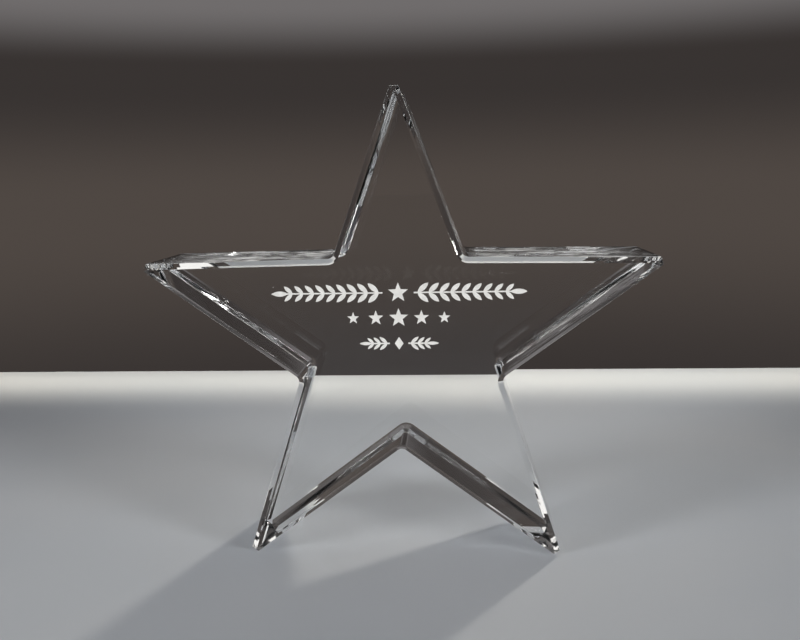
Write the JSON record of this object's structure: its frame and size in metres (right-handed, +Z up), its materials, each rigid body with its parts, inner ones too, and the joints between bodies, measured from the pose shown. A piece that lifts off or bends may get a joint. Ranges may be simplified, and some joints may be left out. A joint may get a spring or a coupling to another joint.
{
  "type": "star trophy",
  "caption": "Free-standing clear crystal star with bevelled edges, standing on its two lower points, with a frosted laurel and star ornament on the front face.",
  "frame": {"origin": "middle of the footprint, on the surface that the star stands on", "axes": "+Z up; +X to the right of someone facing the engraved face, along the side points; the engraved face looks along -Y"},
  "size_m": [0.1, 0.024, 0.0921],
  "materials": {
    "clear_crystal": "polished",
    "frosted_engraving": "frosted"
  },
  "bodies": {
    "root": {"star_block": "clear_crystal", "engraving_upper_row": "frosted_engraving", "engraving_middle_row": "frosted_engraving", "engraving_lower_row": "frosted_engraving"}
  },
  "joints": []
}
